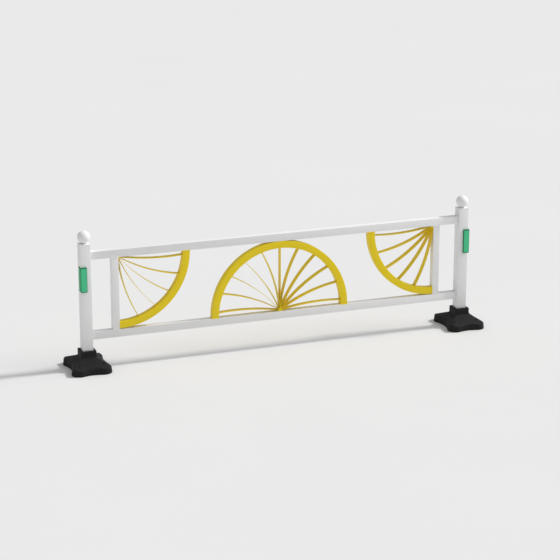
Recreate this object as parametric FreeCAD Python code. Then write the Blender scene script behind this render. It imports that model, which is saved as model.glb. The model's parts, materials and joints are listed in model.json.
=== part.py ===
"""Decorative crowd control barrier: a white two-rail panel between two ball-topped posts, with three
yellow wheel motifs, green corner reflectors, and two black rubber bases whose sockets hold the posts.

Millimetres, +X along the barrier, +Y across it, +Z up. The origin is on the ground, midway between
the posts, in the plane of the panel. Every piece is written as one STEP file.
"""
import FreeCAD, Part
import math
import os

V = FreeCAD.Vector

# ---------------------------------------------------------------- driving dimensions
POST_SPACING = 3080.0          # between post centres
POST_SIZE = 80.0               # square tube
POST_WALL = 3.0
POST_CORNER = 1.5
POST_BOTTOM_Z = 24.0           # lower end of the tube, on the foot plug's flange
POST_TOP_Z = 968.0             # upper end of the tube, under the cap plate

FOOT_FLANGE = 4.0              # plastic foot plug: flange and the spigot up inside the tube
FOOT_SPIGOT = 40.0
CAP_PLATE = 6.0                # cap plate welded on the post
CAP_SPIGOT = 18.0
CAP_CHAMFER = 1.0
PLUG_GAP = 0.3                 # clearance of a plug in its tube
PLUG_WALL = 3.0
PLUG_CORNER = 2.0
MIN_INNER_CORNER = 0.5         # inner corner radius of a thin-cornered tube

BALL_RADIUS = 48.0
BALL_WALL = 4.0
BALL_NECK_RADIUS = 17.0
BALL_NECK_LENGTH = 26.0        # from the cap plate up into the hollow
BALL_CENTRE_Z = 1024.0
STUD_RADIUS = 5.0
STUD_DOWN = 24.0               # stud length below the top of the cap plate
STUD_UP = 30.0                 # stud length above it, into the ball
STUD_NUT_AF = 17.0
STUD_NUT_HEIGHT = 8.0

RAIL_HEIGHT = 60.0
RAIL_DEPTH = 50.0
RAIL_WALL = 2.5
RAIL_CORNER = 1.5
BOTTOM_RAIL_Z = 228.0          # underside
RAIL_GAP = 562.0               # clear height between the rails

STILE_WIDTH = 55.0
STILE_DEPTH = 50.0
STILE_WALL = 2.0
STILE_CORNER = 1.5
STILE_OUTER_X = 1340.0         # outer face of each stile

SPIGOT_LENGTH = 90.0           # inner sleeve on the post that carries each rail end
SPIGOT_WALL = 3.0
SPIGOT_CORNER = 3.5
SCREW_RADIUS = 3.0
SCREW_HEAD_AF = 8.0
SCREW_HEAD_HEIGHT = 4.0
SCREW_WASHER_RADIUS = 6.5
SCREW_WASHER = 1.2
SCREW_LENGTH = 14.0
SCREW_PLACES = (30.0, 65.0)    # distances from the post face

RING_RADIUS = 557.0            # outside of the rolled rim
RING_THICK = 55.0
RING_DEPTH = 50.0
RING_WALL = 2.5
WHEEL_RISE = 5.0               # centre of the middle wheel above the bottom rail

SPOKE_THICK = 3.0
SPOKE_DEPTH = 50.0
SPOKE_PITCH = 17.3             # degrees between spoke ends on the rim
SPOKE_OVERRUN = 1.0            # degrees of extra arc, trimmed off at the rim's inner face
SPOKE_SAG = 27.0               # bow of a curved spoke
LAST_SPOKE_RISE = 3.6          # degrees between the rail and the end of the spoke beside it
LAST_SPOKE_SAG = 18.0          # bow of that spoke
SPOKE_COUNT_SIDE = 5           # curved spokes on each side of an upright line through the hub
HUB_RADIUS = 18.0
HUB_DEPTH = 44.0               # set back a little from the spokes' edges

REFLECTOR_LOW_Z = 612.0
REFLECTOR_HEIGHT = 190.0
REFLECTOR_FRONT = 48.0         # width over the front of the post
REFLECTOR_SIDE = 42.0          # width over its outer side
REFLECTOR_PROUD = 17.0         # front leg's thickness
REFLECTOR_SIDE_PROUD = 4.0     # side leg's thickness
REFLECTOR_CHAMFER = 2.0
LENS_THICK = 2.0
LENS_MARGIN = 3.0              # housing left showing beside a lens
LENS_END_MARGIN = 7.0          # and above and below it
RIVET_RADIUS = 2.0
RIVET_LENGTH = 22.0
RIVET_HEAD_RADIUS = 4.0
RIVET_HEAD = 1.5

LOBE_X = 93.0                  # centre of each lobe's round end
LOBE_Y = 130.0
LOBE_RADIUS = 62.0
WAIST_X = 28.0                 # how far the long sides draw in between the lobes
WAIST_Y = 16.0
BASE_RIM = 44.0                # height of the upright edge
BASE_DRAFT = 5.0               # how much smaller the top of that edge is
BASE_SHOULDER_Z = 96.0         # where the slopes meet the socket
BASE_SHOULDER_SIZE = 124.0
SOCKET_OUTER = 120.0
SOCKET_TOP_Z = 150.0
SOCKET_CLEAR = 0.5             # gap between post and socket, on each side
SOCKET_FLOOR_Z = 20.0
SOCKET_CORNER = 6.0
SOCKET_BORE_CORNER = 1.0
ANCHOR_RADIUS = 7.0

# ---------------------------------------------------------------- derived places
HALF = POST_SPACING / 2
POST_FACE_X = HALF - POST_SIZE / 2
CAP_TOP_Z = POST_TOP_Z + CAP_PLATE
BOTTOM_RAIL_TOP = BOTTOM_RAIL_Z + RAIL_HEIGHT
TOP_RAIL_Z = BOTTOM_RAIL_TOP + RAIL_GAP
STILE_INNER_X = STILE_OUTER_X - STILE_WIDTH
RIM_INNER = RING_RADIUS - RING_THICK
WHEEL_Z = BOTTOM_RAIL_TOP + WHEEL_RISE
SIDES = (("left", -1), ("right", 1))
CORNERS = ((1, 1), (-1, 1), (-1, -1), (1, -1))
RAILS = (("bottom", BOTTOM_RAIL_Z), ("top", TOP_RAIL_Z))


# ---------------------------------------------------------------- helpers
def save(name, shape):
    """Write one piece, or one group of separate fasteners, as a STEP file."""
    shape.exportStep("parts/" + name + ".step")
    print(name, "valid" if shape.isValid() else "INVALID", len(shape.Solids), round(shape.Volume))


def box(x0, x1, y0, y1, z0, z1):
    return Part.makeBox(x1 - x0, y1 - y0, z1 - z0, V(x0, y0, z0))


def centred_box(width, depth, z0, z1, x=0.0, y=0.0):
    return box(x - width / 2, x + width / 2, y - depth / 2, y + depth / 2, z0, z1)


def rounded_bar(width, depth, length, radius):
    """Upright bar of rounded rectangular section, centred on the Z axis, from z = 0."""
    bar = centred_box(width, depth, 0, length)
    upright = [e for e in bar.Edges if abs(e.tangentAt(e.FirstParameter).z) > 0.9]
    return bar.makeFillet(radius, upright)


def square_tube(width, depth, length, wall, radius):
    """Upright hollow section with an inner corner radius that keeps the wall even."""
    inner = rounded_bar(width - 2 * wall, depth - 2 * wall, length, max(radius - wall, MIN_INNER_CORNER))
    return rounded_bar(width, depth, length, radius).cut(inner)


def laid_along_x(shape, x, z):
    """Turn an upright shape to run along +X from x, with its section's middle at height z."""
    turned = shape.copy()
    turned.rotate(V(0, 0, 0), V(0, 1, 0), 90)
    turned.translate(V(x, 0, z))
    return turned


def mirrored(shape, side):
    """The shape as drawn for the +X side, or its mirror image for the -X side."""
    if side > 0:
        return shape
    return shape.mirror(V(0, 0, 0), V(1, 0, 0))


def hexagon(across_flats, height, place):
    """Upright hexagonal prism whose lower face is centred on place."""
    corner = across_flats / math.sqrt(3)
    turns = [math.radians(60 * i) for i in range(7)]
    points = [V(corner * math.cos(a), corner * math.sin(a), 0) + place for a in turns]
    return Part.Face(Part.makePolygon(points)).extrude(V(0, 0, height))


def upright(profile_edges, depth):
    """Extrude a closed profile drawn in the XZ plane to a plate centred on the panel's plane."""
    face = Part.Face(Part.Wire(profile_edges))
    plate = face.extrude(V(0, depth, 0))
    plate.translate(V(0, -depth / 2, 0))
    return plate


def disc(radius, depth, x, z):
    """Round plate in the plane of the panel."""
    return Part.makeCylinder(radius, depth, V(x, -depth / 2, z), V(0, 1, 0))


def arc_xz(centre, radius, start, end):
    """Circular edge in the XZ plane, angles in degrees from +X towards +Z."""
    def point(angle):
        a = math.radians(angle)
        return V(centre.x + radius * math.cos(a), 0, centre.z + radius * math.sin(a))
    return Part.Arc(point(start), point((start + end) / 2), point(end)).toShape()


# ---------------------------------------------------------------- posts
def post():
    tube = square_tube(POST_SIZE, POST_SIZE, POST_TOP_Z - POST_BOTTOM_Z, POST_WALL, POST_CORNER)
    tube.translate(V(HALF, 0, POST_BOTTOM_Z))
    for hole in reflector_rivet_axes():
        tube = tube.cut(Part.makeCylinder(RIVET_RADIUS, RIVET_LENGTH, hole, V(0, 1, 0)))
    return tube


def foot_plug():
    inside = POST_SIZE - 2 * POST_WALL - 2 * PLUG_GAP
    flange = rounded_bar(POST_SIZE, POST_SIZE, FOOT_FLANGE, POST_CORNER)
    spigot = square_tube(inside, inside, FOOT_SPIGOT, PLUG_WALL, PLUG_CORNER)
    spigot.translate(V(0, 0, FOOT_FLANGE))
    plug = flange.fuse(spigot)
    plug.translate(V(HALF, 0, POST_BOTTOM_Z - FOOT_FLANGE))
    return plug.removeSplitter()


def post_cap():
    inside = POST_SIZE - 2 * POST_WALL - 2 * PLUG_GAP
    plate = rounded_bar(POST_SIZE, POST_SIZE, CAP_PLATE, POST_CORNER)
    top_edges = [e for e in plate.Edges if e.CenterOfMass.z > CAP_PLATE - 0.1]
    plate = plate.makeChamfer(CAP_CHAMFER, top_edges)
    skirt = square_tube(inside, inside, CAP_SPIGOT, PLUG_WALL, PLUG_CORNER)
    skirt.translate(V(0, 0, -CAP_SPIGOT))
    cap = plate.fuse(skirt)
    cap.translate(V(HALF, 0, POST_TOP_Z))
    return cap.cut(stud_shank()).removeSplitter()


def stud_shank():
    start = V(HALF, 0, CAP_TOP_Z - STUD_DOWN)
    return Part.makeCylinder(STUD_RADIUS, STUD_DOWN + STUD_UP, start)


def finial_stud():
    """Threaded stud through the cap plate, with its nut under the plate."""
    nut = hexagon(STUD_NUT_AF, STUD_NUT_HEIGHT, V(HALF, 0, POST_TOP_Z - STUD_NUT_HEIGHT))
    return stud_shank().fuse(nut).removeSplitter()


def ball_finial():
    """Hollow ball on a short solid neck that sits on the cap plate, bored for its stud."""
    centre = V(HALF, 0, BALL_CENTRE_Z)
    ball = Part.makeSphere(BALL_RADIUS, centre).cut(Part.makeSphere(BALL_RADIUS - BALL_WALL, centre))
    neck = Part.makeCylinder(BALL_NECK_RADIUS, BALL_NECK_LENGTH, V(HALF, 0, CAP_TOP_Z))
    return ball.fuse(neck).cut(stud_shank()).removeSplitter()


# ---------------------------------------------------------------- rails and stiles
def spigot_screw(x, z):
    """Self-drilling hexagon washer screw driven up through a rail's underside at height z."""
    shank = Part.makeCylinder(SCREW_RADIUS, SCREW_LENGTH, V(x, 0, z))
    washer = Part.makeCylinder(SCREW_WASHER_RADIUS, SCREW_WASHER, V(x, 0, z - SCREW_WASHER))
    head = hexagon(SCREW_HEAD_AF, SCREW_HEAD_HEIGHT, V(x, 0, z - SCREW_WASHER - SCREW_HEAD_HEIGHT))
    return shank.fuse([washer, head]).removeSplitter()


def rail_screws():
    screws = []
    for _, z in RAILS:
        for _, side in SIDES:
            for place in SCREW_PLACES:
                screws.append(spigot_screw(side * (POST_FACE_X - place), z))
    return screws


def rail(z, screws):
    length = 2 * POST_FACE_X
    tube = square_tube(RAIL_HEIGHT, RAIL_DEPTH, length, RAIL_WALL, RAIL_CORNER)
    return laid_along_x(tube, -POST_FACE_X, z + RAIL_HEIGHT / 2).cut(screws)


def rail_spigot(z, side, screws):
    """Sleeve welded to the post's inner face, inside the rail's end."""
    height = RAIL_HEIGHT - 2 * RAIL_WALL - 2 * PLUG_GAP
    depth = RAIL_DEPTH - 2 * RAIL_WALL - 2 * PLUG_GAP
    sleeve = square_tube(height, depth, SPIGOT_LENGTH, SPIGOT_WALL, SPIGOT_CORNER)
    sleeve = laid_along_x(sleeve, POST_FACE_X - SPIGOT_LENGTH, z + RAIL_HEIGHT / 2)
    return mirrored(sleeve, side).cut(screws)


def stile():
    tube = square_tube(STILE_WIDTH, STILE_DEPTH, RAIL_GAP, STILE_WALL, STILE_CORNER)
    tube.translate(V(STILE_OUTER_X - STILE_WIDTH / 2, 0, BOTTOM_RAIL_TOP))
    return tube


# ---------------------------------------------------------------- wheels
def annulus(outer, inner, depth):
    return disc(outer, depth, 0, 0).cut(disc(inner, depth, 0, 0))


def rim(reach):
    """Rolled hollow section about the origin, trimmed to the part of the circle inside reach."""
    solid = annulus(RING_RADIUS, RIM_INNER, RING_DEPTH)
    core = annulus(RING_RADIUS - RING_WALL, RIM_INNER + RING_WALL, RING_DEPTH - 2 * RING_WALL)
    return solid.cut(core).common(reach)


def hub(reach):
    return disc(HUB_RADIUS, HUB_DEPTH, 0, 0).common(reach)


def trimmed_spoke(bar):
    """Keep what lies between the hub and the inside of the rim."""
    return bar.common(disc(RIM_INNER, SPOKE_DEPTH, 0, 0)).cut(disc(HUB_RADIUS, SPOKE_DEPTH, 0, 0))


def straight_spoke():
    return trimmed_spoke(centred_box(SPOKE_THICK, SPOKE_DEPTH, 0, RING_RADIUS))


def curved_spoke(step):
    """Bowed flat bar from the hub to the rim, step places to the +X side of the upright line."""
    last = step == SPOKE_COUNT_SIDE
    rise = LAST_SPOKE_RISE if last else 90 - step * SPOKE_PITCH
    sag = LAST_SPOKE_SAG if last else SPOKE_SAG
    angle = math.radians(rise)
    tip = V(RIM_INNER * math.cos(angle), 0, RIM_INNER * math.sin(angle))
    normal = V(-math.sin(angle), 0, math.cos(angle))
    radius = (RIM_INNER ** 2 / 4 + sag ** 2) / (2 * sag)
    centre = tip * 0.5 - normal * (radius - sag)
    root_angle = math.degrees(math.atan2(-centre.z, -centre.x))
    tip_angle = math.degrees(math.atan2(tip.z - centre.z, tip.x - centre.x)) - SPOKE_OVERRUN
    outer_arc = arc_xz(centre, radius + SPOKE_THICK / 2, root_angle, tip_angle)
    inner_arc = arc_xz(centre, radius - SPOKE_THICK / 2, root_angle, tip_angle)
    ends = [Part.LineSegment(outer_arc.Vertexes[i].Point, inner_arc.Vertexes[i].Point).toShape()
            for i in (0, 1)]
    return trimmed_spoke(upright(Part.__sortEdges__([outer_arc, inner_arc] + ends), SPOKE_DEPTH))


def placed_at(shape, x, z):
    moved = shape.copy()
    moved.translate(V(x, 0, z))
    return moved


def upside_down(shape):
    return shape.mirror(V(0, 0, 0), V(0, 0, 1))


def centre_wheel():
    """Half wheel standing on the bottom rail, with its eleven spokes named from left to right."""
    reach = centred_box(2 * RING_RADIUS, RING_DEPTH, -WHEEL_RISE, RING_RADIUS)
    save("centre_ring", placed_at(rim(reach), 0, WHEEL_Z))
    save("centre_hub", placed_at(hub(reach), 0, WHEEL_Z))
    middle = straight_spoke()
    for step in range(-SPOKE_COUNT_SIDE, SPOKE_COUNT_SIDE + 1):
        spoke = mirrored(curved_spoke(abs(step)).cut(middle), step) if step else middle
        save("centre_spoke_%02d" % (step + SPOKE_COUNT_SIDE + 1), placed_at(spoke, 0, WHEEL_Z))


def corner_wheel(name, side):
    """Quarter wheel hung upside down between stile and top rail, spokes counted from the stile."""
    def save_placed(piece, shape):
        hung = mirrored(upside_down(shape), -side)
        save(name + "_" + piece, placed_at(hung, side * STILE_INNER_X, TOP_RAIL_Z))

    reach = box(0, RING_RADIUS, -RING_DEPTH / 2, RING_DEPTH / 2, 0, RING_RADIUS)
    save_placed("ring", rim(reach))
    save_placed("hub", hub(reach))
    for step in range(1, SPOKE_COUNT_SIDE + 1):
        save_placed("spoke_%d" % step, curved_spoke(step))


# ---------------------------------------------------------------- reflectors
def reflector_shell():
    """L-shaped housing round the post's outer front corner, drawn for the +X side."""
    outer_x = HALF + POST_SIZE / 2
    front_y = -POST_SIZE / 2
    low = REFLECTOR_LOW_Z
    high = low + REFLECTOR_HEIGHT
    inner_x = outer_x + REFLECTOR_SIDE_PROUD - REFLECTOR_FRONT
    front = box(inner_x, outer_x + REFLECTOR_SIDE_PROUD, front_y - REFLECTOR_PROUD, front_y, low, high)
    side = box(outer_x, outer_x + REFLECTOR_SIDE_PROUD, front_y, front_y + REFLECTOR_SIDE, low, high)
    shell = front.fuse(side).removeSplitter()
    front_edges = [e for e in shell.Edges
                   if e.CenterOfMass.y < front_y - REFLECTOR_PROUD + 0.1 and e.Length < REFLECTOR_HEIGHT + 1]
    shell = shell.makeChamfer(REFLECTOR_CHAMFER, front_edges)
    return shell.cut(post_block())


def post_block():
    """Solid outline of the post, for trimming what is wrapped round its rounded corners."""
    block = rounded_bar(POST_SIZE, POST_SIZE, POST_TOP_Z, POST_CORNER)
    block.translate(V(HALF, 0, 0))
    return block


def lens_solids():
    """Front and side reflective panels, each seated in the housing by its full thickness."""
    outer_x = HALF + POST_SIZE / 2
    front_y = -POST_SIZE / 2
    low = REFLECTOR_LOW_Z + LENS_END_MARGIN
    high = REFLECTOR_LOW_Z + REFLECTOR_HEIGHT - LENS_END_MARGIN
    face_y = front_y - REFLECTOR_PROUD
    inner_x = outer_x + REFLECTOR_SIDE_PROUD - REFLECTOR_FRONT + LENS_MARGIN
    front = box(inner_x, outer_x + REFLECTOR_SIDE_PROUD - LENS_MARGIN, face_y, face_y + LENS_THICK, low, high)
    face_x = outer_x + REFLECTOR_SIDE_PROUD
    side_y = face_y + LENS_MARGIN + LENS_THICK
    side = box(face_x - LENS_THICK, face_x, side_y, front_y + REFLECTOR_SIDE - LENS_MARGIN, low, high)
    return front, side


def reflector_rivet_axes():
    """Start points of the two rivets behind the front lens, running back through the post wall."""
    x = HALF + POST_SIZE / 2 + REFLECTOR_SIDE_PROUD - REFLECTOR_FRONT / 2
    y = -POST_SIZE / 2 - REFLECTOR_PROUD + LENS_THICK
    middle = REFLECTOR_LOW_Z + REFLECTOR_HEIGHT / 2
    return [V(x, y, middle - REFLECTOR_HEIGHT / 3), V(x, y, middle + REFLECTOR_HEIGHT / 3)]


def rivet(start):
    head = Part.makeCylinder(RIVET_HEAD_RADIUS, RIVET_HEAD, start, V(0, 1, 0))
    shank = Part.makeCylinder(RIVET_RADIUS, RIVET_LENGTH, start, V(0, 1, 0))
    return head.fuse(shank).removeSplitter()


# ---------------------------------------------------------------- bases
def waist_radius(half_gap, depth):
    """Radius of the hollow between two lobes that draws in by depth."""
    return (half_gap ** 2 + depth ** 2) / (2 * depth) - LOBE_RADIUS


def lobed_wire(offset, z):
    """Outline of the base: four round lobes joined by hollow arcs, drawn in by offset."""
    radius = LOBE_RADIUS - offset
    side_radius = waist_radius(LOBE_Y, WAIST_X) + offset
    end_radius = waist_radius(LOBE_X, WAIST_Y) + offset
    side_centre = V(LOBE_X + math.sqrt((radius + side_radius) ** 2 - LOBE_Y ** 2), 0, z)
    end_centre = V(0, LOBE_Y + math.sqrt((radius + end_radius) ** 2 - LOBE_X ** 2), z)
    lobe = V(LOBE_X, LOBE_Y, z)

    def between(a, b, from_a):
        return a + (b - a).normalize() * from_a

    side_join = between(lobe, side_centre, radius)
    end_join = between(lobe, end_centre, radius)
    tip = lobe + V(LOBE_X, LOBE_Y, 0).normalize() * radius
    side_mid = V(side_centre.x - side_radius, 0, z)
    end_mid = V(0, end_centre.y - end_radius, z)
    edges = []
    for sx, sy in CORNERS:
        start, top, end = [V(sx * p.x, sy * p.y, z) for p in (side_join, tip, end_join)]
        edges.append(Part.Arc(start, top, end).toShape())
    for sx in (1, -1):
        low = V(sx * side_join.x, -side_join.y, z)
        edges.append(Part.Arc(low, V(sx * side_mid.x, 0, z), V(sx * side_join.x, side_join.y, z)).toShape())
    for sy in (1, -1):
        left = V(-end_join.x, sy * end_join.y, z)
        edges.append(Part.Arc(left, V(0, sy * end_mid.y, z), V(end_join.x, sy * end_join.y, z)).toShape())
    return Part.Wire(Part.__sortEdges__(edges))


def shoulder_pyramid():
    """Hipped slopes that rise from the lobes' rim to the foot of the socket."""
    half = BASE_SHOULDER_SIZE / 2
    reach_x = LOBE_X + LOBE_RADIUS
    reach_y = LOBE_Y + LOBE_RADIUS
    loop = CORNERS + CORNERS[:1]
    low = [V(sx * reach_x, sy * reach_y, BASE_RIM) for sx, sy in loop]
    high = [V(sx * half, sy * half, BASE_SHOULDER_Z) for sx, sy in loop]
    return Part.makeLoft([Part.makePolygon(low), Part.makePolygon(high)], True, True)


def base():
    """Moulded rubber foot with a square socket and four anchor holes, about the origin."""
    rim_block = Part.makeLoft([lobed_wire(0, 0), lobed_wire(BASE_DRAFT, BASE_RIM)], True, True)
    top_wire = Part.Face(lobed_wire(BASE_DRAFT, BASE_RIM))
    column = top_wire.extrude(V(0, 0, BASE_SHOULDER_Z - BASE_RIM))
    body = rim_block.fuse(column.common(shoulder_pyramid()))
    socket = rounded_bar(SOCKET_OUTER, SOCKET_OUTER, SOCKET_TOP_Z - BASE_RIM, SOCKET_CORNER)
    socket.translate(V(0, 0, BASE_RIM))
    body = body.fuse(socket).removeSplitter()
    opening = POST_SIZE + 2 * SOCKET_CLEAR
    bore = rounded_bar(opening, opening, SOCKET_TOP_Z, SOCKET_BORE_CORNER)
    bore.translate(V(0, 0, SOCKET_FLOOR_Z))
    body = body.cut(bore)
    for sx, sy in CORNERS:
        hole = Part.makeCylinder(ANCHOR_RADIUS, SOCKET_TOP_Z, V(sx * LOBE_X, sy * LOBE_Y, 0))
        body = body.cut(hole)
    return body


# ---------------------------------------------------------------- the barrier
def main():
    os.makedirs("parts", exist_ok=True)
    screws = rail_screws()
    save("rail_screws", Part.makeCompound(screws))
    for name, z in RAILS:
        save(name + "_rail", rail(z, screws))
        for side_name, side in SIDES:
            save("%s_%s_spigot" % (name, side_name), rail_spigot(z, side, screws))

    front_lens, side_lens = lens_solids()
    rivets = [rivet(start) for start in reflector_rivet_axes()]
    housing = reflector_shell().cut([front_lens, side_lens] + rivets)
    pieces = {
        "post": post(),
        "post_foot_plug": foot_plug(),
        "post_cap": post_cap(),
        "ball_finial": ball_finial(),
        "stile": stile(),
        "reflector_housing": housing,
        "reflector_front_lens": front_lens,
        "reflector_side_lens": side_lens,
    }
    for side_name, side in SIDES:
        for piece, shape in pieces.items():
            save(side_name + "_" + piece, mirrored(shape, side))
        save(side_name + "_base", placed_at(base(), side * HALF, 0))
        corner_wheel(side_name, side)
    save("finial_studs", Part.makeCompound([mirrored(finial_stud(), side) for _, side in SIDES]))
    save("reflector_rivets", Part.makeCompound([mirrored(r, side) for _, side in SIDES for r in rivets]))
    centre_wheel()


main()
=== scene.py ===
"""The looks of the crowd control barrier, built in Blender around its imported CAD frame.

Metres, in the CAD's own frame: +X along the barrier, +Y across it, +Z up. Places come from the CAD
nodes' boxes. Only what a box can't say, such as corner radii and the bow of a spoke, is named here.
"""
import json
import math
import bmesh
import bpy
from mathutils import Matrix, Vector


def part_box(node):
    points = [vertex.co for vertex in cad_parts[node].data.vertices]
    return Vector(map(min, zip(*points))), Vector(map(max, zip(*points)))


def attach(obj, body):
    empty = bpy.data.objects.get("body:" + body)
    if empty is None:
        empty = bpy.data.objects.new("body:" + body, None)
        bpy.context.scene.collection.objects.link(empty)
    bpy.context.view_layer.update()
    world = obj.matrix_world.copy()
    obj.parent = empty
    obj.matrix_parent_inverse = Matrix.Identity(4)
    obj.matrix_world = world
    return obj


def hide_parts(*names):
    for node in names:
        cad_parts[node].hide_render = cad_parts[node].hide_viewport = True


# ---------------------------------------------------------------- sizes that a node's box can't give
POST_CORNER = 0.0015
RAIL_CORNER = 0.0015
RIM_THICK = 0.055              # of the rolled section, measured towards the hub
RIM_CORNER = 0.0015
SPOKE_EDGE = 0.0006
END_ROUND = 0.0006             # rounding of a sawn end
RIM_END_ROUND = 0.0002
SPOKE_END_ROUND = 0.0003
CAP_ROUND = 0.0016             # rounding of the cap plate's upper and lower edge
BALL_COLLAR = 0.42             # share of the ball's radius
BALL_NECK = 0.30
BOSS_EDGE = 0.0012
BOSS_BITE = 0.95               # where a spoke starts, as a share of the boss's radius
SPOKE_PITCH = 17.3             # degrees between spoke ends
SPOKE_SAG = 0.027
LAST_SPOKE_RISE = 3.6          # degrees between the rail and the end of the spoke beside it
LAST_SPOKE_SAG = 0.018
SPOKES_PER_SIDE = 5
LOBE_RADIUS = 0.062
WAIST_X = 0.028
WAIST_Y = 0.016
BASE_RIM = 0.044
BASE_DRAFT = 0.005
BASE_SHOULDER = 0.096
SHOULDER_HALF = 0.062
SOCKET_HALF = 0.060
SOCKET_BORE_HALF = 0.0405
SOCKET_FLOOR = 0.020
ANCHOR_RADIUS = 0.007
FOOT_TOE = 0.004               # rounding of the lower edge, at the ground
FOOT_BROW = 0.007              # rounding where the upright edge turns into the slope
RIDGE_SOFTNESS = 0.05          # share of the slope over which its ridges are blended
SLOPE_STEPS = 12
SOCKET_LIP = 0.003
SOCKET_SQUARENESS = 26.0       # exponent: a higher one makes tighter corners
WELD_RADIUS = 0.0026
WELD_RIPPLE = 0.0045           # length of one ripple in a weld
WELD_SWELL = 0.14              # how much a ripple adds to the radius, as a share
BEAD_SIZE = 0.55               # of the bead on a spoke's end, as a share of the other welds' radius
BEAD_REACH = 0.46              # how far it runs each way, as a share of the wheel's depth
BEAD_BACK = 0.001              # how far short of the rim it lies
BEAD_OUT = 0.0006              # how far beyond the spoke's face it lies
HOUSING_BEVEL = 0.0007
LENS_MARGIN = 0.003
LENS_GROOVE = 0.003            # depth of the groove above and below a lens
LENS_GROOVE_DRAFT = 0.0002
LENS_RIB = 0.004               # width of one flute in a lens
FLUTE_DEPTH = 0.0011
FLUTE_STEPS = 6                # points across one flute
LENS_ENDS = (                  # distance from the end, share of the flute's depth, inset
    (0.0, 0.0, 0.0005),
    (0.0006, 0.0, 0.0),
    (0.0022, 0.0, 0.0),
    (0.0032, 1.0, 0.0),
)
CRISP = 40.0                   # degrees: an edge that turns more than this stays sharp
CRISP_ROUND = 50.0             # the same on the balls and the feet

# ---------------------------------------------------------------- camera and light
CAMERA_PLACE = (-4.7987, -13.0247, 4.7049)
CAMERA_PITCH_DOWN = 16.73      # degrees
CAMERA_YAW = 20.24             # degrees from +Y towards +X
CAMERA_LENS = 120.73           # millimetres on a 36 mm sensor
LIGHTS = (                     # name, strength, degrees across, elevation, turn from +X towards -Y
    ("key light", 2.02, 6.0, 42.0, 2.5),
    ("wide softbox", 0.92, 38.0, 42.0, 12.0),
)
SKY_STRENGTH = 0.48
FLOOR_SIZE = 120.0

SIDES = (("left", -1), ("right", 1))
X, Y, Z = Vector((1, 0, 0)), Vector((0, 1, 0)), Vector((0, 0, 1))

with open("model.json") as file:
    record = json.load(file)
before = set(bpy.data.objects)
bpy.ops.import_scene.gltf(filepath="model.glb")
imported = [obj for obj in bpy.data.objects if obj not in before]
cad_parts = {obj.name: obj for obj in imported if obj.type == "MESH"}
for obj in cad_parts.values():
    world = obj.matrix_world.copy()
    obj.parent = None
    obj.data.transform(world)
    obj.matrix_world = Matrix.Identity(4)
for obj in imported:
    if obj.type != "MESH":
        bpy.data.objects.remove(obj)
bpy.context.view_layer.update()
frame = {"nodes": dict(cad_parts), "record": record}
scene = bpy.context.scene


# ---------------------------------------------------------------- materials
class Shader:
    """A Principled material with a few short calls for building its texture nodes."""

    def __init__(self, name, roughness, metallic=0.0, coat=0.0, specular=0.5):
        self.material = bpy.data.materials.new(name)
        self.material.use_nodes = True
        self.nodes = self.material.node_tree.nodes
        self.links = self.material.node_tree.links
        self.surface = self.nodes["Principled BSDF"]
        self.surface.inputs["Roughness"].default_value = roughness
        self.surface.inputs["Metallic"].default_value = metallic
        self.surface.inputs["Coat Weight"].default_value = coat
        self.surface.inputs["Specular IOR Level"].default_value = specular
        self.place = self.nodes.new("ShaderNodeTexCoord").outputs["Object"]

    def noise(self, scale, detail=4.0):
        node = self.nodes.new("ShaderNodeTexNoise")
        node.inputs["Scale"].default_value = scale
        node.inputs["Detail"].default_value = detail
        node.inputs["Roughness"].default_value = 0.55
        self.links.new(self.place, node.inputs["Vector"])
        return node.outputs["Fac"]

    def cells(self, scale):
        node = self.nodes.new("ShaderNodeTexVoronoi")
        node.inputs["Scale"].default_value = scale
        self.links.new(self.place, node.inputs["Vector"])
        return node.outputs["Distance"]

    def height(self, low, high):
        """0 at height low, rising to 1 at height high."""
        split = self.nodes.new("ShaderNodeSeparateXYZ")
        self.links.new(self.place, split.inputs[0])
        return self.stretch(split.outputs["Z"], low, high, 0.0, 1.0)

    def stretch(self, value, from_low, from_high, to_low, to_high):
        node = self.nodes.new("ShaderNodeMapRange")
        node.inputs["From Min"].default_value = from_low
        node.inputs["From Max"].default_value = from_high
        node.inputs["To Min"].default_value = to_low
        node.inputs["To Max"].default_value = to_high
        self.links.new(value, node.inputs["Value"])
        return node.outputs["Result"]

    def math(self, kind, a, b):
        node = self.nodes.new("ShaderNodeMath")
        node.operation = kind
        for socket, value in zip(node.inputs, (a, b)):
            if isinstance(value, (int, float)):
                socket.default_value = value
            else:
                self.links.new(value, socket)
        return node.outputs[0]

    def mix(self, share, a, b):
        node = self.nodes.new("ShaderNodeMix")
        node.data_type = "RGBA"
        self.links.new(share, node.inputs["Factor"])
        for socket, value in ((node.inputs[6], a), (node.inputs[7], b)):
            if isinstance(value, tuple):
                socket.default_value = (*value, 1.0)
            else:
                self.links.new(value, socket)
        return node.outputs[2]

    def colour(self, value):
        self.links.new(value, self.surface.inputs["Base Color"])

    def rough(self, value):
        self.links.new(value, self.surface.inputs["Roughness"])

    def bump(self, value, distance, strength=1.0):
        node = self.nodes.new("ShaderNodeBump")
        node.inputs["Distance"].default_value = distance
        node.inputs["Strength"].default_value = strength
        self.links.new(value, node.inputs["Height"])
        self.links.new(node.outputs[0], self.surface.inputs["Normal"])


def shaded(colour, factor):
    return tuple(c * factor for c in colour)


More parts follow.
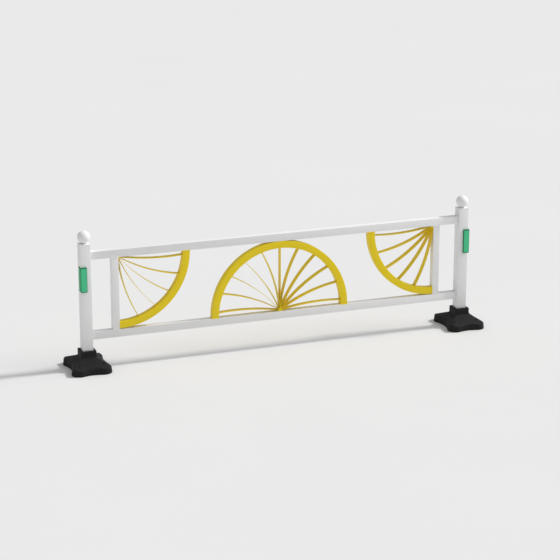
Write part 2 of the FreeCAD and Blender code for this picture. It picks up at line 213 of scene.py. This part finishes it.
def powder_coat(name, colour, speck_and_low_tone, specular):
    """Sprayed powder coat: orange peel, faint patchiness, fine specks, and a colour that darkens towards
    the ground.
    """
    roughness = 0.42
    m = Shader(name, roughness, specular=specular)
    patches = m.stretch(m.noise(9.0), 0.35, 0.65, 0.0, 1.0)
    clean = m.mix(patches, shaded(colour, 0.975), colour)
    # Darker towards the ground: up to 16 % of the second colour at the ground, fading out by 0.42 m up.
    low = m.stretch(m.height(0.0, 0.42), 0.0, 1.0, 0.16, 0.0)
    specks = m.stretch(m.noise(140.0, 6.0), 0.60, 0.74, 0.0, 0.10)
    m.colour(m.mix(m.math("ADD", low, specks), clean, speck_and_low_tone))
    m.rough(m.stretch(m.noise(60.0), 0.3, 0.7, roughness - 0.06, roughness + 0.08))
    m.bump(m.noise(420.0, 3.0), 0.00012)
    return m.material


def moulded_rubber(name):
    """Recycled rubber: packed granules, a slight sheen and pale dust in its texture."""
    m = Shader(name, 0.62, specular=0.15)
    grains = m.cells(520.0)
    dark, light = (0.0075, 0.0075, 0.008), (0.0155, 0.0155, 0.016)
    tone = m.mix(m.stretch(grains, 0.1, 0.6, 0.0, 1.0), dark, light)
    dust = m.stretch(m.noise(26.0, 6.0), 0.48, 0.75, 0.0, 0.22)
    m.colour(m.mix(dust, tone, (0.030, 0.029, 0.028)))
    m.rough(m.stretch(m.noise(90.0), 0.3, 0.7, 0.52, 0.74))
    m.bump(m.math("ADD", grains, m.noise(900.0, 2.0)), 0.00035)
    return m.material


def moulded_plastic(name, colour, roughness):
    m = Shader(name, roughness)
    m.colour(m.mix(m.stretch(m.noise(30.0), 0.3, 0.7, 0.0, 1.0), shaded(colour, 0.85), colour))
    m.rough(m.stretch(m.noise(250.0), 0.3, 0.7, roughness - 0.07, roughness + 0.07))
    m.bump(m.noise(1100.0, 2.0), 0.00008)
    return m.material


def reflective_lens(name, colour):
    """Tinted lens over a field of small prisms."""
    m = Shader(name, 0.30, coat=0.1, specular=0.25)
    prisms = m.cells(430.0)
    edges = m.stretch(prisms, 0.05, 0.65, 0.0, 1.0)
    m.colour(m.mix(edges, shaded(colour, 1.08), shaded(colour, 0.78)))
    m.rough(m.stretch(m.noise(120.0), 0.3, 0.7, 0.24, 0.36))
    m.bump(prisms, 0.0003, 0.6)
    return m.material


def zinc_plate(name):
    m = Shader(name, 0.38, metallic=1.0)
    spangle = m.stretch(m.cells(260.0), 0.1, 0.7, 0.0, 1.0)
    m.colour(m.mix(spangle, (0.50, 0.51, 0.53), (0.68, 0.69, 0.70)))
    m.rough(m.stretch(m.noise(180.0), 0.3, 0.7, 0.30, 0.48))
    m.bump(m.noise(700.0, 2.0), 0.00008)
    return m.material


def studio_floor(name):
    m = Shader(name, 0.9, specular=0.1)
    clouds = m.stretch(m.noise(0.6), 0.3, 0.7, 0.0, 1.0)
    m.colour(m.mix(clouds, (0.742, 0.742, 0.742), (0.752, 0.752, 0.752)))
    m.bump(m.noise(60.0), 0.0002)
    return m.material


WHITE = powder_coat("white powder coat", (0.86, 0.86, 0.86), (0.50, 0.49, 0.47), 0.18)
YELLOW = powder_coat("yellow powder coat", (0.875, 0.665, 0.012), (0.40, 0.34, 0.12), 0.25)
RUBBER = moulded_rubber("moulded black rubber")
# The housing's colour is partly its own dark green plastic and partly painted shade: it is kept dark so
# that its top end and the borders round the lenses show the shade of an open end and of the gaps there.
HOUSING_AND_PAINTED_SHADE = moulded_plastic("green housing plastic darkened as painted shade", (0.016, 0.230, 0.092), 0.42)
LENS = reflective_lens("green reflective lens", (0.096, 0.76, 0.375))
SIDE_LENS = reflective_lens("deeper green reflective lens", (0.030, 0.50, 0.19))
ZINC = zinc_plate("zinc plated steel")
PLUG = moulded_plastic("black plug plastic", (0.03, 0.03, 0.03), 0.5)
FINISHES = {"white_paint": WHITE, "yellow_paint": YELLOW, "black_rubber": RUBBER, "green_housing": HOUSING_AND_PAINTED_SHADE,
            "green_lens": LENS, "green_side_lens": SIDE_LENS, "zinc_steel": ZINC, "plug_plastic": PLUG}


# ---------------------------------------------------------------- mesh helpers
def arc_angles(start, end, steps):
    return [math.radians(start + (end - start) * i / steps) for i in range(steps + 1)]


class Mesh:
    """Collects closed shells, then becomes one piece."""

    def __init__(self):
        self.vertices = []
        self.faces = []

    def loft(self, rings, joined=False):
        """Skin a list of equal-length rings. Joined rings close on themselves, others get end caps."""
        start = len(self.vertices)
        count = len(rings[0])
        for ring in rings:
            self.vertices.extend(ring)
        last = len(rings) if joined else len(rings) - 1
        for r in range(last):
            low = start + r * count
            high = start + (r + 1) % len(rings) * count
            for i in range(count):
                j = (i + 1) % count
                self.faces.append((low + i, low + j, high + j, high + i))
        if not joined:
            self.faces.append(tuple(start + i for i in reversed(range(count))))
            self.faces.append(tuple(start + (len(rings) - 1) * count + i for i in range(count)))

    def data(self, name):
        mesh = bpy.data.meshes.new(name)
        mesh.from_pydata([tuple(v) for v in self.vertices], [], self.faces)
        fixing = bmesh.new()
        fixing.from_mesh(mesh)
        bmesh.ops.recalc_face_normals(fixing, faces=fixing.faces)
        fixing.to_mesh(mesh)
        fixing.free()
        return mesh


def finish_piece(name, mesh, slot, body, nodes, sharp=CRISP):
    """Turn mesh data into a piece that rides on its body and stands for its CAD nodes."""
    mesh.shade_smooth()
    mesh.set_sharp_from_angle(angle=math.radians(sharp))
    mesh.materials.append(FINISHES[slot])
    piece = bpy.data.objects.new(name, mesh)
    scene.collection.objects.link(piece)
    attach(piece, body)
    if nodes:
        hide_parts(*nodes)
    return piece


def rounded_outline(width, depth, radius, steps=5):
    """Points round a rectangle with rounded corners, centred on (0, 0)."""
    points = []
    for turn, (sx, sy) in enumerate(((1, 1), (-1, 1), (-1, -1), (1, -1))):
        cx = sx * (width / 2 - radius)
        cy = sy * (depth / 2 - radius)
        for a in arc_angles(90 * turn, 90 * turn + 90, steps):
            points.append((cx + radius * math.cos(a), cy + radius * math.sin(a)))
    return points


def bar(mesh, path, width, depth, radius, end_round=END_ROUND):
    """Rounded rectangular bar along path, a list of (centre, width axis, depth axis)."""
    def ring(centre, u, v, inset=0.0):
        corner = max(radius - inset, radius * 0.2)
        outline = rounded_outline(width - 2 * inset, depth - 2 * inset, corner)
        return [centre + u * a + v * b for a, b in outline]

    def end(index, inward):
        centre, u, v = path[index]
        back = (path[inward][0] - centre).normalized()
        turns = arc_angles(90, 0, 3)
        return [ring(centre + back * end_round * (1 - math.sin(t)), u, v, end_round * (1 - math.cos(t)))
                for t in turns]

    middle = [ring(*place) for place in path[1:-1]]
    mesh.loft(end(0, 1) + middle + list(reversed(end(-1, -2))))


def straight(start, end, u, v):
    return [(start, u, v), (end, u, v)]


def bar_in_box(mesh, low, high, along, radius):
    """Straight bar that fills a box, running along one axis: 0, 1 or 2."""
    middle = (low + high) / 2
    start, end = middle.copy(), middle.copy()
    start[along], end[along] = low[along], high[along]
    axes = [X, Y, Z]
    u, v = [axes[i] for i in range(3) if i != along]
    size = high - low
    bar(mesh, straight(start, end, u, v), size.dot(u), size.dot(v), radius)


def weld(mesh, corners, radius=WELD_RADIUS):
    """Rippled bead that runs through the corners, and closes on itself where the last is the first."""
    closed = (corners[0] - corners[-1]).length < 1e-6
    centres = []
    for a, b in zip(corners, corners[1:]):
        steps = max(4, round((b - a).length / (WELD_RIPPLE / 4)))
        centres.extend(a.lerp(b, i / steps) for i in range(steps))
    if not closed:
        centres.append(corners[-1])
    rings = []
    travelled = 0.0
    for i, centre in enumerate(centres):
        after = centres[(i + 1) % len(centres)] if closed or i + 1 < len(centres) else centre
        before = centres[i - 1] if closed or i else centre
        along = (after - before).normalized()
        travelled += (centre - before).length
        side = along.orthogonal().normalized()
        if abs(along.z) < 0.9:
            side = along.cross(Z).normalized()
        up = along.cross(side)
        swell = radius * (1 + WELD_SWELL * math.sin(2 * math.pi * travelled / WELD_RIPPLE))
        rings.append([centre + side * swell * math.cos(a) + up * swell * math.sin(a)
                      for a in arc_angles(0, 315, 7)])
    mesh.loft(rings, joined=closed)


def rectangle(centre, width, depth):
    """Corners of a level rectangle, first and last the same."""
    return [centre + X * sx * width / 2 + Y * sy * depth / 2
            for sx, sy in ((1, 1), (-1, 1), (-1, -1), (1, -1), (1, 1))]


def lathe(mesh, place, profile, steps=96):
    """Turn a profile of (radius, height) points about the upright line through place."""
    rings = [[place + Vector((r * math.cos(a), r * math.sin(a), z))
              for a in arc_angles(0, 360 - 360 / steps, steps - 1)] for r, z in profile]
    mesh.loft(rings)


# ---------------------------------------------------------------- posts, caps and balls
def post_top(name, side):
    """Post tube, cap plate, and the ball on its neck."""
    low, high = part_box(name + "_post")
    tube = Mesh()
    bar_in_box(tube, low, high, 2, POST_CORNER)
    finish_piece(name + "_post_tube", tube.data("post"), "white_paint", "panel_frame",
                 [name + "_post"])

    cap_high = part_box(name + "_post_cap")[1]
    plate = Mesh()
    plate_low = Vector((low.x, low.y, high.z))
    middle = (plate_low + cap_high) / 2
    ends = straight(Vector((middle.x, 0, high.z)), Vector((middle.x, 0, cap_high.z)), X, Y)
    bar(plate, ends, high.x - low.x, high.y - low.y, POST_CORNER, end_round=CAP_ROUND)
    finish_piece(name + "_cap_plate", plate.data("cap"), "white_paint", "panel_frame",
                 [name + "_post_cap"])

    ball_low, ball_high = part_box(name + "_ball_finial")
    radius = (ball_high.x - ball_low.x) / 2
    centre_z = ball_high.z - radius
    collar, neck = radius * BALL_COLLAR, radius * BALL_NECK
    foot = ball_low.z - centre_z
    meet = -math.degrees(math.acos(neck / radius))
    profile = [(collar - 0.001, foot), (collar, foot + 0.001),
               (collar, foot + 0.0022), (neck + 0.001, foot + 0.0034),
               (neck, -radius * math.sin(math.radians(-meet)))]
    for a in arc_angles(meet + 1.5, 89.0, 48):
        profile.append((radius * math.cos(a), radius * math.sin(a)))
    ball = Mesh()
    lathe(ball, Vector((middle.x, 0, centre_z)), profile)
    finish_piece(name + "_ball", ball.data("ball"), "white_paint", "panel_frame",
                 [name + "_ball_finial"], CRISP_ROUND)


# ---------------------------------------------------------------- rails and stiles
def rails_and_stiles():
    for name in ("top_rail", "bottom_rail"):
        tube = Mesh()
        bar_in_box(tube, *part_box(name), 0, RAIL_CORNER)
        finish_piece(name + "_tube", tube.data(name), "white_paint", "panel_frame", [name])
    welds = Mesh()
    for name, _ in SIDES:
        low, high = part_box(name + "_stile")
        tube = Mesh()
        bar_in_box(tube, low, high, 2, RAIL_CORNER)
        finish_piece(name + "_stile_tube", tube.data("stile"), "white_paint", "panel_frame",
                     [name + "_stile"])
        middle = (low + high) / 2
        for z in (low.z, high.z):
            weld(welds, rectangle(Vector((middle.x, 0, z)), high.x - low.x, high.y - low.y))
    finish_piece("stile_welds", welds.data("stile welds"), "white_paint", "panel_frame", [])


# ---------------------------------------------------------------- wheels
def spoke_path(step, inner, outer):
    """Points and in-plane normals of one bowed flat bar, about the hub of an upright wheel."""
    last = step == SPOKES_PER_SIDE
    angle = math.radians(LAST_SPOKE_RISE if last else 90 - step * SPOKE_PITCH)
    sag = LAST_SPOKE_SAG if last else SPOKE_SAG
    if step == 0:
        sag = 0.0
    tip = Vector((math.cos(angle), math.sin(angle)))
    normal = Vector((-tip.y, tip.x))
    steps = 40
    points = []
    for i in range(steps + 1):
        share = inner / outer + (1 - inner / outer) * i / steps
        bow = 4 * sag * share * (1 - share)
        slope = 4 * sag * (1 - 2 * share) / outer
        along = (tip + normal * slope).normalized()
        points.append((tip * outer * share + normal * bow, Vector((-along.y, along.x))))
    return points


class Wheel:
    """One rim with its boss and spokes, drawn as an upright wheel and turned into its real place."""

    def __init__(self, name, ring_node, hub, mirror, down, outer):
        low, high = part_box(ring_node)
        self.name = name
        self.ring_node = ring_node
        self.hub = hub
        self.mirror = mirror
        self.down = down
        self.outer = outer
        self.inner = outer - RIM_THICK
        self.depth = high.y - low.y
        self.welds = Mesh()

    def point(self, x, z):
        return Vector((self.hub.x + self.mirror * x, 0, self.hub.z + self.down * z))

    def direction(self, x, z):
        return Vector((self.mirror * x, 0, self.down * z))

    def rim(self, start_angle, end_angle, steps):
        """Rolled rim from one sawn end to the other, with a weld round each end."""
        radius = (self.outer + self.inner) / 2
        path = [(self.point(radius * math.cos(a), radius * math.sin(a)),
                 self.direction(math.cos(a), math.sin(a)), Y)
                for a in arc_angles(start_angle, end_angle, steps)]
        rolled = Mesh()
        bar(rolled, path, RIM_THICK, self.depth, RIM_CORNER, end_round=RIM_END_ROUND)
        finish_piece(self.name + "_rim", rolled.data("rim"), "yellow_paint", "panel_frame",
                     [self.ring_node])
        for centre, across, _ in (path[0], path[-1]):
            corners = [centre + across * a * RIM_THICK / 2 + Y * b * self.depth / 2
                       for a, b in ((1, 1), (-1, 1), (-1, -1), (1, -1), (1, 1))]
            weld(self.welds, corners)

    def boss(self, node, outline):
        """Round boss that the spokes are welded to, given as an outline about the hub."""
        low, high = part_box(node)
        middle = sum(outline, Vector((0, 0))) / len(outline)
        half = (high.y - low.y) / 2
        rings = []
        for y, shrink in ((-half, BOSS_EDGE), (BOSS_EDGE - half, 0.0),
                          (half - BOSS_EDGE, 0.0), (half, BOSS_EDGE)):
            drawn_in = [p + (middle - p).normalized() * shrink for p in outline]
            rings.append([self.point(p.x, p.y) + Y * y for p in drawn_in])
        solid = Mesh()
        solid.loft(rings)
        finish_piece(self.name + "_boss", solid.data("boss"), "yellow_paint", "panel_frame", [node])

    def spoke(self, piece, node, step, root, thick, mirror=1):
        """Flat bar from inside the boss to the rim, with a weld down each side of its end."""
        path = []
        for point, normal in spoke_path(step, root, self.inner):
            path.append((self.point(mirror * point.x, point.y),
                         self.direction(mirror * normal.x, normal.y), Y))
        flat = Mesh()
        bar(flat, path, thick, self.depth, SPOKE_EDGE, end_round=SPOKE_END_ROUND)
        finish_piece(piece, flat.data("spoke"), "yellow_paint", "panel_frame", [node])
        tip, across, _ = path[-1]
        along = (tip - path[-2][0]).normalized()
        for side in (-1, 1):
            bead = tip - along * BEAD_BACK + across * side * (thick / 2 + BEAD_OUT)
            ends = [bead - Y * self.depth * BEAD_REACH, bead + Y * self.depth * BEAD_REACH]
            weld(self.welds, ends, WELD_RADIUS * BEAD_SIZE)

    def finish_welds(self):
        finish_piece(self.name + "_wheel_welds", self.welds.data("welds"), "yellow_paint",
                     "panel_frame", [])


def spoke_thickness():
    """Thickness of every spoke, taken from the upright middle one."""
    low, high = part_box("centre_spoke_06")
    return high.x - low.x


def centre_wheel():
    low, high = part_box("centre_ring")
    outer = (high.x - low.x) / 2
    hub = Vector((0, 0, high.z - outer))
    wheel = Wheel("centre", "centre_ring", hub, 1, 1, outer)
    drop = hub.z - low.z
    tilt = math.degrees(math.asin(drop / (outer - RIM_THICK / 2)))
    wheel.rim(-tilt, 180 + tilt, 128)
    hub_low, hub_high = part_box("centre_hub")
    radius = (hub_high.x - hub_low.x) / 2
    foot = math.degrees(math.asin(drop / radius))
    wheel.boss("centre_hub", [Vector((radius * math.cos(a), radius * math.sin(a)))
                              for a in arc_angles(-foot, 180 + foot, 40)])
    for step in range(-SPOKES_PER_SIDE, SPOKES_PER_SIDE + 1):
        number = step + SPOKES_PER_SIDE + 1
        wheel.spoke("centre_bar_%02d" % number, "centre_spoke_%02d" % number, abs(step), radius * BOSS_BITE,
                    spoke_thickness(), -1 if step < 0 else 1)
    wheel.finish_welds()


def corner_wheel(name, side):
    ring_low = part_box(name + "_ring")[0]
    stile_low, stile_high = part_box(name + "_stile")
    hub = Vector((stile_low.x if side > 0 else stile_high.x, 0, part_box("top_rail")[0].z))
    wheel = Wheel(name, name + "_ring", hub, -side, -1, hub.z - ring_low.z)
    wheel.rim(0, 90, 72)
    hub_low, hub_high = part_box(name + "_hub")
    radius = hub_high.x - hub_low.x
    quarter = [Vector((0, 0))]
    quarter += [Vector((radius * math.cos(a), radius * math.sin(a))) for a in arc_angles(0, 90, 20)]
    wheel.boss(name + "_hub", quarter)
    for step in range(1, SPOKES_PER_SIDE + 1):
        wheel.spoke("%s_bar_%d" % (name, step), "%s_spoke_%d" % (name, step), step, radius * BOSS_BITE,
                    spoke_thickness())
    wheel.finish_welds()


# ---------------------------------------------------------------- reflectors
def prism(outline, low_z, high_z):
    """Upright prism, as a bmesh."""
    shape = bmesh.new()
    ring = [shape.verts.new((x, y, low_z)) for x, y in outline]
    floor = shape.faces.new(ring)
    raised = bmesh.ops.extrude_face_region(shape, geom=[floor])["geom"]
    lifted = [v for v in raised if isinstance(v, bmesh.types.BMVert)]
    bmesh.ops.translate(shape, verts=lifted, vec=(0, 0, high_z - low_z))
    bmesh.ops.recalc_face_normals(shape, faces=shape.faces)
    return shape


def reflector(name, side):
    """Green housing round the post's front outer corner, with a fluted lens on each leg."""
    low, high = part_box(name + "_reflector_housing")
    post_low, post_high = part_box(name + "_post")
    outer_x = high.x if side > 0 else low.x
    inner_x = low.x if side > 0 else high.x
    post_x = post_high.x if side > 0 else post_low.x
    front, back = low.y, high.y
    outline = [(inner_x, front), (outer_x, front), (outer_x, back), (post_x, back),
               (post_x, post_low.y), (inner_x, post_low.y)]
    shape = prism(outline, low.z, high.z)
    shape.faces.ensure_lookup_table()
    recessed = []
    for face in shape.faces:
        centre = face.calc_center_median()
        if abs(centre.y - front) < 1e-5 or abs(centre.x - outer_x) < 1e-5:
            recessed.append(face)
    bmesh.ops.inset_individual(shape, faces=recessed, thickness=LENS_MARGIN, depth=0.0)
    bmesh.ops.inset_individual(shape, faces=recessed, thickness=LENS_GROOVE_DRAFT, depth=-LENS_GROOVE)
    edges = [e for e in shape.edges if e.calc_face_angle(0) > 1.0]
    bmesh.ops.bevel(shape, geom=edges, offset=HOUSING_BEVEL, segments=2, affect="EDGES", profile=0.5)
    mesh = bpy.data.meshes.new("housing")
    shape.to_mesh(mesh)
    shape.free()
    finish_piece(name + "_housing", mesh, "green_housing", "panel_frame",
                 [name + "_reflector_housing"])
    for part, out, slot in (("front", -Y, "green_lens"), ("side", X * side, "green_side_lens")):
        node = "%s_reflector_%s_lens" % (name, part)
        plate = fluted_plate(*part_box(node), out)
        finish_piece("%s_%s_lens" % (name, part), plate, slot, "panel_frame", [node])


def fluted_plate(low, high, out):
    """Upright plate whose outer face is a row of round flutes that shrink to a flat border."""
    across = X if abs(out.y) > 0.5 else Y
    width = (high - low).dot(across)
    middle = (low + high) / 2
    thick = abs((high - low).dot(out))
    border = LENS_RIB * 0.5
    flutes = max(3, round((width - 2 * border) / LENS_RIB))
    pitch = (width - 2 * border) / flutes

    def ring(z, share, inset):
        half = width / 2 - inset
        face = thick / 2 - inset * 0.6
        points = [(-half, -thick / 2), (-half, face - 0.0004)]
        for i in range(flutes * FLUTE_STEPS + 1):
            at = -width / 2 + border + pitch * i / FLUTE_STEPS
            dip = FLUTE_DEPTH * share * (1 - abs(math.sin(math.pi * i / FLUTE_STEPS)))
            points.append((max(-half, min(half, at)), face - dip))
        points += [(half, face - 0.0004), (half, -thick / 2)]
        return [Vector((middle.x, middle.y, z)) + across * a + out * b for a, b in points]

    rings = [ring(low.z + rise, share, inset) for rise, share, inset in LENS_ENDS]
    rings += [ring(high.z - rise, share, inset) for rise, share, inset in reversed(LENS_ENDS)]
    plate = Mesh()
    plate.loft(rings)
    return plate.data("lens")


# ---------------------------------------------------------------- rubber bases
class Foot:
    """Heights and outlines of the lobed base, about its own middle."""

    def __init__(self, low, high):
        self.half_x = (high.x - low.x) / 2
        self.half_y = (high.y - low.y) / 2
        self.top = high.z
        self.lobe = Vector((self.half_x - LOBE_RADIUS, self.half_y - LOBE_RADIUS))

    def hollow(self, half_gap, other, depth):
        """Radius of the arc between two lobes, and how far out its centre lies."""
        radius = (half_gap ** 2 + depth ** 2) / (2 * depth) - LOBE_RADIUS
        return radius, other + math.sqrt((LOBE_RADIUS + radius) ** 2 - half_gap ** 2)

    def outline(self, inset):
        """Points of the whole outline, drawn in by inset, anticlockwise from the +X waist."""
        side_r, side_x = self.hollow(self.lobe.y, self.lobe.x, WAIST_X)
        end_r, end_y = self.hollow(self.lobe.x, self.lobe.y, WAIST_Y)
        to_side = math.degrees(math.atan2(-self.lobe.y, side_x - self.lobe.x))
        to_end = math.degrees(math.atan2(end_y - self.lobe.y, -self.lobe.x))
        quarter = [Vector((side_x + (side_r + inset) * math.cos(a), (side_r + inset) * math.sin(a)))
                   for a in arc_angles(180, 180 + to_side, 9)]
        quarter += [self.lobe + (LOBE_RADIUS - inset) * Vector((math.cos(a), math.sin(a)))
                    for a in arc_angles(to_side, to_end, 44)[1:]]
        quarter += [Vector(((end_r + inset) * math.cos(a), end_y + (end_r + inset) * math.sin(a)))
                    for a in arc_angles(to_end - 180, -90, 8)[1:]]
        half = quarter + [Vector((-p.x, p.y)) for p in reversed(quarter[:-1])]
        return half + [Vector((-p.x, -p.y)) for p in half[1:-1]]

    def slope(self, p):
        """Height of the hipped top above a point, with its ridges rounded."""
        rise = BASE_SHOULDER - BASE_RIM
        a = (self.half_x - abs(p.x)) / (self.half_x - SHOULDER_HALF)
        b = (self.half_y - abs(p.y)) / (self.half_y - SHOULDER_HALF)
        blend = max(RIDGE_SOFTNESS - abs(a - b), 0.0) / RIDGE_SOFTNESS
        return BASE_RIM + rise * (min(a, b) - blend * blend * RIDGE_SOFTNESS / 4)


def on_square(p, half):
    """The point of a square with eased corners that lies in the direction of p."""
    power = SOCKET_SQUARENESS
    size = (abs(p.x) ** power + abs(p.y) ** power) ** (1 / power)
    return p * (half / size)


def foot_mesh(low, high):
    """Skin of the foot in rings, from the ground up its outside and down into the socket."""
    foot = Foot(low, high)
    middle = Vector(((low.x + high.x) / 2, (low.y + high.y) / 2, 0))

    def ring(points, heights):
        return [middle + Vector((p.x, p.y, z)) for p, z in zip(points, heights)]

    def level(points, z):
        return ring(points, [z] * len(points))

    rings = [level(foot.outline(inset), z)
             for inset, z in ((FOOT_TOE, 0.0), (0.0013, 0.0006), (0.0, FOOT_TOE))]
    crest = [foot.slope(p) for p in foot.outline(BASE_DRAFT)]
    rings.append(ring(foot.outline(BASE_DRAFT * 0.85), [z - FOOT_BROW for z in crest]))
    for inset, drop in ((0.0005, 0.45), (0.0022, 0.18), (0.0048, 0.04)):
        points = foot.outline(BASE_DRAFT + inset)
        rings.append(ring(points, [foot.slope(p) - FOOT_BROW * drop for p in points]))
    outside = foot.outline(BASE_DRAFT + FOOT_BROW + 0.001)
    shoulder = [on_square(p, SOCKET_HALF + 0.005) for p in outside]
    for i in range(SLOPE_STEPS + 1):
        points = [a.lerp(b, i / SLOPE_STEPS) for a, b in zip(outside, shoulder)]
        rings.append(ring(points, [foot.slope(p) for p in points]))
    for half, rise in ((SOCKET_HALF + 0.0015, 0.0022), (SOCKET_HALF, 0.0065)):
        points = [on_square(p, half) for p in outside]
        rings.append(ring(points, [foot.slope(p) + rise for p in points]))
    for half, z in ((SOCKET_HALF - 0.0005, foot.top - SOCKET_LIP),
                    (SOCKET_HALF - 0.0012, foot.top - SOCKET_LIP * 0.3),
                    (SOCKET_HALF - SOCKET_LIP, foot.top), (SOCKET_BORE_HALF + 0.002, foot.top),
                    (SOCKET_BORE_HALF + 0.0005, foot.top - 0.0006),
                    (SOCKET_BORE_HALF, foot.top - 0.002), (SOCKET_BORE_HALF, SOCKET_FLOOR)):
        rings.append(level([on_square(p, half) for p in outside], z))
    rubber = Mesh()
    rubber.loft(rings)
    return rubber.data("rubber foot"), foot, middle


def drill(piece, places, radius, height):
    """Cut round holes straight up through a piece, from just below the ground to a height."""
    cutter = Mesh()
    for place in places:
        lathe(cutter, place, [(radius, -0.01), (radius, height)], 32)
    tool = bpy.data.objects.new("drill", cutter.data("drill"))
    scene.collection.objects.link(tool)
    cut = piece.modifiers.new("holes", "BOOLEAN")
    cut.operation = "DIFFERENCE"
    cut.solver = "EXACT"
    cut.object = tool
    bpy.context.view_layer.update()
    with_holes = bpy.data.meshes.new_from_object(piece.evaluated_get(bpy.context.evaluated_depsgraph_get()))
    piece.modifiers.clear()
    piece.data = with_holes
    bpy.data.objects.remove(tool)


def base(name):
    low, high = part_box(name + "_base")
    mesh, foot, middle = foot_mesh(low, high)
    piece = finish_piece(name + "_rubber_foot", mesh, "black_rubber", name + "_base",
                         [name + "_base"], CRISP_ROUND)
    places = [middle + Vector((sx * foot.lobe.x, sy * foot.lobe.y, 0))
              for sx in (-1, 1) for sy in (-1, 1)]
    drill(piece, places, ANCHOR_RADIUS, BASE_SHOULDER)
    piece.data.set_sharp_from_angle(angle=math.radians(CRISP_ROUND))


# ---------------------------------------------------------------- studio
def studio():
    floor_mesh = Mesh()
    half = FLOOR_SIZE / 2
    floor_mesh.vertices = [Vector((x * half, y * half, 0))
                           for x, y in ((-1, -1), (1, -1), (1, 1), (-1, 1))]
    floor_mesh.faces = [(0, 1, 2, 3)]
    floor = bpy.data.objects.new("floor", floor_mesh.data("floor"))
    floor.data.materials.append(studio_floor("studio floor"))
    scene.collection.objects.link(floor)

    for label, strength, across, elevation, turn in LIGHTS:
        light = bpy.data.lights.new(label, "SUN")
        light.energy = strength
        light.angle = math.radians(across)
        lamp = bpy.data.objects.new(label, light)
        lamp.rotation_euler = (0, math.radians(90 - elevation), math.radians(-turn))
        scene.collection.objects.link(lamp)

    world = bpy.data.worlds.new("sky")
    world.use_nodes = True
    world.node_tree.nodes["Background"].inputs["Color"].default_value = (1, 1, 1, 1)
    world.node_tree.nodes["Background"].inputs["Strength"].default_value = SKY_STRENGTH
    scene.world = world

    camera = bpy.data.cameras.new("camera")
    camera.lens = CAMERA_LENS
    camera.clip_end = 200.0
    eye = bpy.data.objects.new("camera", camera)
    eye.location = CAMERA_PLACE
    eye.rotation_euler = (math.radians(90 - CAMERA_PITCH_DOWN), 0, math.radians(-CAMERA_YAW))
    scene.collection.objects.link(eye)
    scene.camera = eye
    scene.view_settings.view_transform = "Standard"


def finish_cad_nodes():
    """Give every CAD node, shown or not, its procedural finish."""
    for part in frame["record"]["subparts"]:
        node = frame["nodes"][part["node"]]
        node.data.materials.clear()
        node.data.materials.append(FINISHES[part["material_slot"]])


finish_cad_nodes()
for side_name, side in SIDES:
    post_top(side_name, side)
    corner_wheel(side_name, side)
    reflector(side_name, side)
    base(side_name)
rails_and_stiles()
centre_wheel()
studio()
